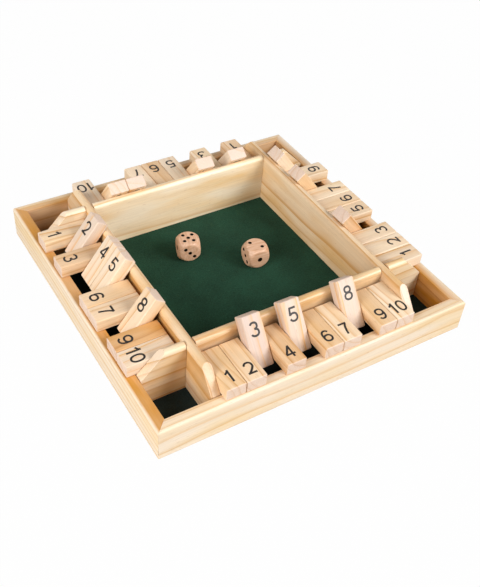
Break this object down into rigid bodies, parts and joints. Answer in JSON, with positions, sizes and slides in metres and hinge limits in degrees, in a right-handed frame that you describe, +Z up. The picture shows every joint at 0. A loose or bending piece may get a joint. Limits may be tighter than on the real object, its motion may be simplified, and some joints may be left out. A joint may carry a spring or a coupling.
{
  "type": "shut the box game",
  "caption": "Square wooden game case with a felt-lined dice tray, four rows of numbered flip tiles on rods, four open corner compartments and two dice.",
  "frame": {"origin": "centre of the underside of the case, on the surface it stands on", "axes": "+Z up; -Y towards the player whose row is numbered from -X to +X; +X to that player's right"},
  "size_m": [0.29, 0.29, 0.0617],
  "materials": {
    "pine_wall": "sanded, clear satin lacquer",
    "pine_board": "sanded, clear satin lacquer",
    "pine_tile": "sanded, clear satin lacquer, with printed numbers",
    "base_board": "plain hardboard",
    "felt": "short dark green felt",
    "rod_steel": "drawn steel",
    "dice_wood": "tumbled hardwood with dark drilled pips"
  },
  "bodies": {
    "root": {"base_panel": "base_board", "felt_lining": "felt", "wall_front": "pine_wall", "wall_left": "pine_wall", "wall_back": "pine_wall", "wall_right": "pine_wall", "side_board_left": "pine_board", "side_board_right": "pine_board", "tray_board_front": "pine_board", "tray_board_back": "pine_board", "rod_support_left_front": "pine_board", "rod_support_left_back": "pine_board", "rod_support_right_front": "pine_board", "rod_support_right_back": "pine_board", "rod_front": "rod_steel", "rod_left": "rod_steel", "rod_back": "rod_steel", "rod_right": "rod_steel"},
    "front_tile_1": {"front_tile_1": "pine_tile"},
    "front_tile_2": {"front_tile_2": "pine_tile"},
    "front_tile_3": {"front_tile_3": "pine_tile"},
    "front_tile_4": {"front_tile_4": "pine_tile"},
    "front_tile_5": {"front_tile_5": "pine_tile"},
    "front_tile_6": {"front_tile_6": "pine_tile"},
    "front_tile_7": {"front_tile_7": "pine_tile"},
    "front_tile_8": {"front_tile_8": "pine_tile"},
    "front_tile_9": {"front_tile_9": "pine_tile"},
    "front_tile_10": {"front_tile_10": "pine_tile"},
    "left_tile_1": {"left_tile_1": "pine_tile"},
    "left_tile_2": {"left_tile_2": "pine_tile"},
    "left_tile_3": {"left_tile_3": "pine_tile"},
    "left_tile_4": {"left_tile_4": "pine_tile"},
    "left_tile_5": {"left_tile_5": "pine_tile"},
    "left_tile_6": {"left_tile_6": "pine_tile"},
    "left_tile_7": {"left_tile_7": "pine_tile"},
    "left_tile_8": {"left_tile_8": "pine_tile"},
    "left_tile_9": {"left_tile_9": "pine_tile"},
    "left_tile_10": {"left_tile_10": "pine_tile"},
    "back_tile_1": {"back_tile_1": "pine_tile"},
    "back_tile_2": {"back_tile_2": "pine_tile"},
    "back_tile_3": {"back_tile_3": "pine_tile"},
    "back_tile_4": {"back_tile_4": "pine_tile"},
    "back_tile_5": {"back_tile_5": "pine_tile"},
    "back_tile_6": {"back_tile_6": "pine_tile"},
    "back_tile_7": {"back_tile_7": "pine_tile"},
    "back_tile_8": {"back_tile_8": "pine_tile"},
    "back_tile_9": {"back_tile_9": "pine_tile"},
    "back_tile_10": {"back_tile_10": "pine_tile"},
    "right_tile_1": {"right_tile_1": "pine_tile"},
    "right_tile_2": {"right_tile_2": "pine_tile"},
    "right_tile_3": {"right_tile_3": "pine_tile"},
    "right_tile_4": {"right_tile_4": "pine_tile"},
    "right_tile_5": {"right_tile_5": "pine_tile"},
    "right_tile_6": {"right_tile_6": "pine_tile"},
    "right_tile_7": {"right_tile_7": "pine_tile"},
    "right_tile_8": {"right_tile_8": "pine_tile"},
    "right_tile_9": {"right_tile_9": "pine_tile"},
    "right_tile_10": {"right_tile_10": "pine_tile"},
    "die_left": {"die_left": "dice_wood"},
    "die_right": {"die_right": "dice_wood"}
  },
  "joints": [
    {"name": "front_tile_1_flip", "type": "hinge", "parent": "root", "child": "front_tile_1", "pos_m": [-0.07965, -0.1132, 0.0357], "axis": [-1, 0, 0], "range_deg": [0, 127.73]},
    {"name": "front_tile_2_flip", "type": "hinge", "parent": "root", "child": "front_tile_2", "pos_m": [-0.06195, -0.1132, 0.0357], "axis": [-1, 0, 0], "range_deg": [0, 127.73]},
    {"name": "front_tile_3_flip", "type": "hinge", "parent": "root", "child": "front_tile_3", "pos_m": [-0.04425, -0.1132, 0.0357], "axis": [-1, 0, 0], "range_deg": [-127.73, 0]},
    {"name": "front_tile_4_flip", "type": "hinge", "parent": "root", "child": "front_tile_4", "pos_m": [-0.02655, -0.1132, 0.0357], "axis": [-1, 0, 0], "range_deg": [0, 127.73]},
    {"name": "front_tile_5_flip", "type": "hinge", "parent": "root", "child": "front_tile_5", "pos_m": [-0.00885, -0.1132, 0.0357], "axis": [-1, 0, 0], "range_deg": [-127.73, 0]},
    {"name": "front_tile_6_flip", "type": "hinge", "parent": "root", "child": "front_tile_6", "pos_m": [0.00885, -0.1132, 0.0357], "axis": [-1, 0, 0], "range_deg": [0, 127.73]},
    {"name": "front_tile_7_flip", "type": "hinge", "parent": "root", "child": "front_tile_7", "pos_m": [0.02655, -0.1132, 0.0357], "axis": [-1, 0, 0], "range_deg": [0, 127.73]},
    {"name": "front_tile_8_flip", "type": "hinge", "parent": "root", "child": "front_tile_8", "pos_m": [0.04425, -0.1132, 0.0357], "axis": [-1, 0, 0], "range_deg": [-127.73, 0]},
    {"name": "front_tile_9_flip", "type": "hinge", "parent": "root", "child": "front_tile_9", "pos_m": [0.06195, -0.1132, 0.0357], "axis": [-1, 0, 0], "range_deg": [0, 127.73]},
    {"name": "front_tile_10_flip", "type": "hinge", "parent": "root", "child": "front_tile_10", "pos_m": [0.07965, -0.1132, 0.0357], "axis": [-1, 0, 0], "range_deg": [0, 127.73]},
    {"name": "left_tile_1_flip", "type": "hinge", "parent": "root", "child": "left_tile_1", "pos_m": [-0.1132, 0.07965, 0.0357], "axis": [0, 1, 0], "range_deg": [0, 127.73]},
    {"name": "left_tile_2_flip", "type": "hinge", "parent": "root", "child": "left_tile_2", "pos_m": [-0.1132, 0.06195, 0.0357], "axis": [0, 1, 0], "range_deg": [-127.73, 0]},
    {"name": "left_tile_3_flip", "type": "hinge", "parent": "root", "child": "left_tile_3", "pos_m": [-0.1132, 0.04425, 0.0357], "axis": [0, 1, 0], "range_deg": [0, 127.73]},
    {"name": "left_tile_4_flip", "type": "hinge", "parent": "root", "child": "left_tile_4", "pos_m": [-0.1132, 0.02655, 0.0357], "axis": [0, 1, 0], "range_deg": [-127.73, 0]},
    {"name": "left_tile_5_flip", "type": "hinge", "parent": "root", "child": "left_tile_5", "pos_m": [-0.1132, 0.00885, 0.0357], "axis": [0, 1, 0], "range_deg": [-127.73, 0]},
    {"name": "left_tile_6_flip", "type": "hinge", "parent": "root", "child": "left_tile_6", "pos_m": [-0.1132, -0.00885, 0.0357], "axis": [0, 1, 0], "range_deg": [0, 127.73]},
    {"name": "left_tile_7_flip", "type": "hinge", "parent": "root", "child": "left_tile_7", "pos_m": [-0.1132, -0.02655, 0.0357], "axis": [0, 1, 0], "range_deg": [0, 127.73]},
    {"name": "left_tile_8_flip", "type": "hinge", "parent": "root", "child": "left_tile_8", "pos_m": [-0.1132, -0.04425, 0.0357], "axis": [0, 1, 0], "range_deg": [-127.73, 0]},
    {"name": "left_tile_9_flip", "type": "hinge", "parent": "root", "child": "left_tile_9", "pos_m": [-0.1132, -0.06195, 0.0357], "axis": [0, 1, 0], "range_deg": [0, 127.73]},
    {"name": "left_tile_10_flip", "type": "hinge", "parent": "root", "child": "left_tile_10", "pos_m": [-0.1132, -0.07965, 0.0357], "axis": [0, 1, 0], "range_deg": [0, 127.73]},
    {"name": "back_tile_1_flip", "type": "hinge", "parent": "root", "child": "back_tile_1", "pos_m": [0.07965, 0.1132, 0.0357], "axis": [1, 0, 0], "range_deg": [0, 127.73]},
    {"name": "back_tile_2_flip", "type": "hinge", "parent": "root", "child": "back_tile_2", "pos_m": [0.06195, 0.1132, 0.0357], "axis": [1, 0, 0], "range_deg": [-127.73, 0]},
    {"name": "back_tile_3_flip", "type": "hinge", "parent": "root", "child": "back_tile_3", "pos_m": [0.04425, 0.1132, 0.0357], "axis": [1, 0, 0], "range_deg": [0, 127.73]},
    {"name": "back_tile_4_flip", "type": "hinge", "parent": "root", "child": "back_tile_4", "pos_m": [0.02655, 0.1132, 0.0357], "axis": [1, 0, 0], "range_deg": [-127.73, 0]},
    {"name": "back_tile_5_flip", "type": "hinge", "parent": "root", "child": "back_tile_5", "pos_m": [0.00885, 0.1132, 0.0357], "axis": [1, 0, 0], "range_deg": [0, 127.73]},
    {"name": "back_tile_6_flip", "type": "hinge", "parent": "root", "child": "back_tile_6", "pos_m": [-0.00885, 0.1132, 0.0357], "axis": [1, 0, 0], "range_deg": [0, 127.73]},
    {"name": "back_tile_7_flip", "type": "hinge", "parent": "root", "child": "back_tile_7", "pos_m": [-0.02655, 0.1132, 0.0357], "axis": [1, 0, 0], "range_deg": [0, 127.73]},
    {"name": "back_tile_8_flip", "type": "hinge", "parent": "root", "child": "back_tile_8", "pos_m": [-0.04425, 0.1132, 0.0357], "axis": [1, 0, 0], "range_deg": [-127.73, 0]},
    {"name": "back_tile_9_flip", "type": "hinge", "parent": "root", "child": "back_tile_9", "pos_m": [-0.06195, 0.1132, 0.0357], "axis": [1, 0, 0], "range_deg": [-127.73, 0]},
    {"name": "back_tile_10_flip", "type": "hinge", "parent": "root", "child": "back_tile_10", "pos_m": [-0.07965, 0.1132, 0.0357], "axis": [1, 0, 0], "range_deg": [0, 127.73]},
    {"name": "right_tile_1_flip", "type": "hinge", "parent": "root", "child": "right_tile_1", "pos_m": [0.1132, -0.07965, 0.0357], "axis": [0, -1, 0], "range_deg": [0, 127.73]},
    {"name": "right_tile_2_flip", "type": "hinge", "parent": "root", "child": "right_tile_2", "pos_m": [0.1132, -0.06195, 0.0357], "axis": [0, -1, 0], "range_deg": [0, 127.73]},
    {"name": "right_tile_3_flip", "type": "hinge", "parent": "root", "child": "right_tile_3", "pos_m": [0.1132, -0.04425, 0.0357], "axis": [0, -1, 0], "range_deg": [0, 127.73]},
    {"name": "right_tile_4_flip", "type": "hinge", "parent": "root", "child": "right_tile_4", "pos_m": [0.1132, -0.02655, 0.0357], "axis": [0, -1, 0], "range_deg": [-127.73, 0]},
    {"name": "right_tile_5_flip", "type": "hinge", "parent": "root", "child": "right_tile_5", "pos_m": [0.1132, -0.00885, 0.0357], "axis": [0, -1, 0], "range_deg": [0, 127.73]},
    {"name": "right_tile_6_flip", "type": "hinge", "parent": "root", "child": "right_tile_6", "pos_m": [0.1132, 0.00885, 0.0357], "axis": [0, -1, 0], "range_deg": [0, 127.73]},
    {"name": "right_tile_7_flip", "type": "hinge", "parent": "root", "child": "right_tile_7", "pos_m": [0.1132, 0.02655, 0.0357], "axis": [0, -1, 0], "range_deg": [0, 127.73]},
    {"name": "right_tile_8_flip", "type": "hinge", "parent": "root", "child": "right_tile_8", "pos_m": [0.1132, 0.04425, 0.0357], "axis": [0, -1, 0], "range_deg": [-127.73, 0]},
    {"name": "right_tile_9_flip", "type": "hinge", "parent": "root", "child": "right_tile_9", "pos_m": [0.1132, 0.06195, 0.0357], "axis": [0, -1, 0], "range_deg": [0, 127.73]},
    {"name": "right_tile_10_flip", "type": "hinge", "parent": "root", "child": "right_tile_10", "pos_m": [0.1132, 0.07965, 0.0357], "axis": [0, -1, 0], "range_deg": [-127.73, 0]},
    {"name": "die_left_lift", "type": "slide", "parent": "root", "child": "die_left", "axis": [0, 0, 1], "range_m": [0, 0.08]},
    {"name": "die_right_lift", "type": "slide", "parent": "root", "child": "die_right", "axis": [0, 0, 1], "range_m": [0, 0.08]}
  ]
}
